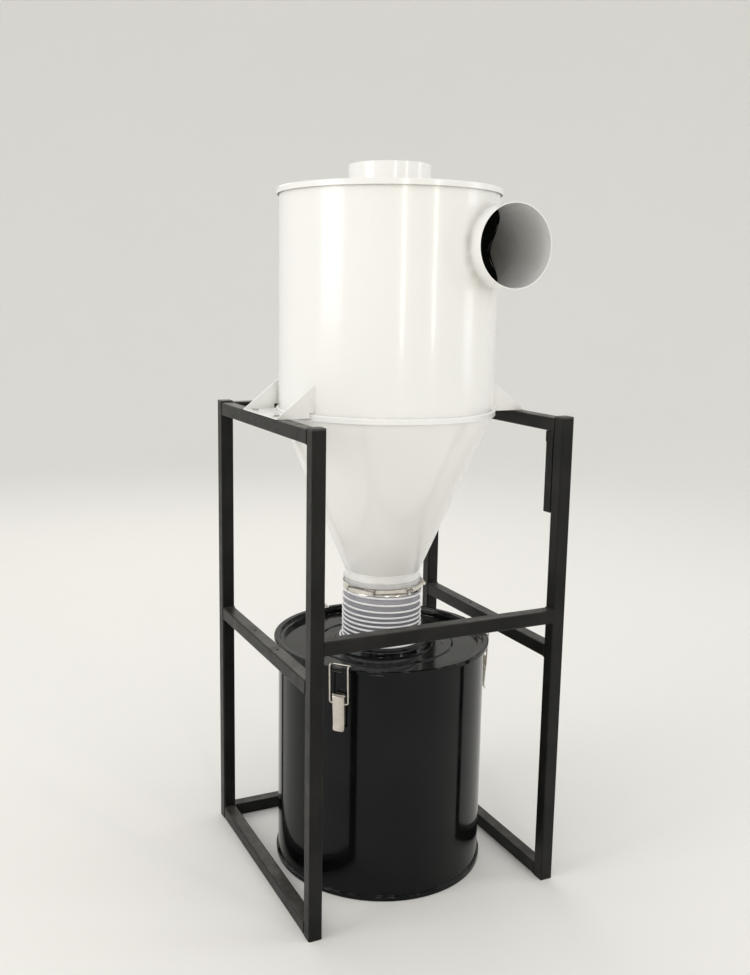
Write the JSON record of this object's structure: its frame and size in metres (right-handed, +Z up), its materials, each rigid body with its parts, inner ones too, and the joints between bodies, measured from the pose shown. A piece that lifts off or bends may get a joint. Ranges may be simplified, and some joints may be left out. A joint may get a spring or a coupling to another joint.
{
  "type": "cyclone separator",
  "caption": "Dust cyclone with side inlet and top outlet on a square-tube stand, joined by a ribbed hose to a lidded drum with toggle latches.",
  "frame": {"origin": "on the floor under the cyclone's axis, at the middle of the stand", "axes": "+Z up along the cyclone's axis; -Y is the side of the inlet's mouth and of the stand's open front; +X is to the right seen from that front"},
  "size_m": [0.503, 0.486, 1.325],
  "materials": {
    "stand_paint": "satin black paint",
    "cap_plastic": "black moulded plug",
    "body_paint": "gloss white paint",
    "bolt_zinc": "zinc plated",
    "hose_pvc": "grey translucent sleeve with white ribs",
    "clamp_steel": "stainless band",
    "drum_paint": "gloss black paint",
    "latch_nickel": "nickel plated"
  },
  "bodies": {
    "cyclone": {"leg_front_left": "stand_paint", "leg_front_right": "stand_paint", "leg_back_left": "stand_paint", "leg_back_right": "stand_paint", "top_rail_left": "stand_paint", "top_rail_right": "stand_paint", "top_rail_back": "stand_paint", "middle_rail_left": "stand_paint", "middle_rail_right": "stand_paint", "middle_rail_front": "stand_paint", "bottom_rail_left": "stand_paint", "bottom_rail_right": "stand_paint", "bottom_rail_back": "stand_paint", "hanger_bar": "stand_paint", "leg_caps": "cap_plastic", "barrel_shell": "body_paint", "barrel_lid": "body_paint", "barrel_bottom_ring": "body_paint", "cone": "body_paint", "cone_spigot": "body_paint", "outlet_pipe": "body_paint", "inlet_pipe": "body_paint", "bracket_left": "body_paint", "bracket_right": "body_paint", "bracket_bolts": "bolt_zinc", "hose": "hose_pvc", "hose_clamp": "clamp_steel", "clamp_screw": "clamp_steel", "drum_body": "drum_paint", "drum_bottom": "drum_paint", "drum_lid": "drum_paint", "drum_collar": "drum_paint", "latch_bases": "latch_nickel"},
    "lever_a": {"latch_lever_a": "latch_nickel"},
    "bail_a": {"latch_bail_a": "latch_nickel"},
    "lever_b": {"latch_lever_b": "latch_nickel"},
    "bail_b": {"latch_bail_b": "latch_nickel"},
    "lever_c": {"latch_lever_c": "latch_nickel"},
    "bail_c": {"latch_bail_c": "latch_nickel"}
  },
  "joints": [
    {"name": "lever_a_hinge", "type": "hinge", "parent": "cyclone", "child": "lever_a", "pos_m": [-0.15313, -0.14032, 0.392], "axis": [-0.6756, 0.7373, 0], "range_deg": [0, 122]},
    {"name": "bail_a_pivot", "type": "hinge", "parent": "lever_a", "child": "bail_a", "pos_m": [-0.15313, -0.14032, 0.3775], "axis": [-0.6756, 0.7373, 0], "range_deg": [-122, 0]},
    {"name": "lever_b_hinge", "type": "hinge", "parent": "cyclone", "child": "lever_b", "pos_m": [0.19809, -0.06246, 0.392], "axis": [-0.3007, -0.9537, 0], "range_deg": [0, 122]},
    {"name": "bail_b_pivot", "type": "hinge", "parent": "lever_b", "child": "bail_b", "pos_m": [0.19809, -0.06246, 0.3775], "axis": [-0.3007, -0.9537, 0], "range_deg": [-122, 0]},
    {"name": "lever_c_hinge", "type": "hinge", "parent": "cyclone", "child": "lever_c", "pos_m": [-0.04496, 0.20278, 0.392], "axis": [0.9763, 0.2164, 0], "range_deg": [0, 122]},
    {"name": "bail_c_pivot", "type": "hinge", "parent": "lever_c", "child": "bail_c", "pos_m": [-0.04496, 0.20278, 0.3775], "axis": [0.9763, 0.2164, 0], "range_deg": [-122, 0]}
  ],
  "couplings": [
    {"joint": "bail_a_pivot", "follows": "lever_a_hinge", "ratio": -1},
    {"joint": "bail_b_pivot", "follows": "lever_b_hinge", "ratio": -1},
    {"joint": "bail_c_pivot", "follows": "lever_c_hinge", "ratio": -1}
  ]
}
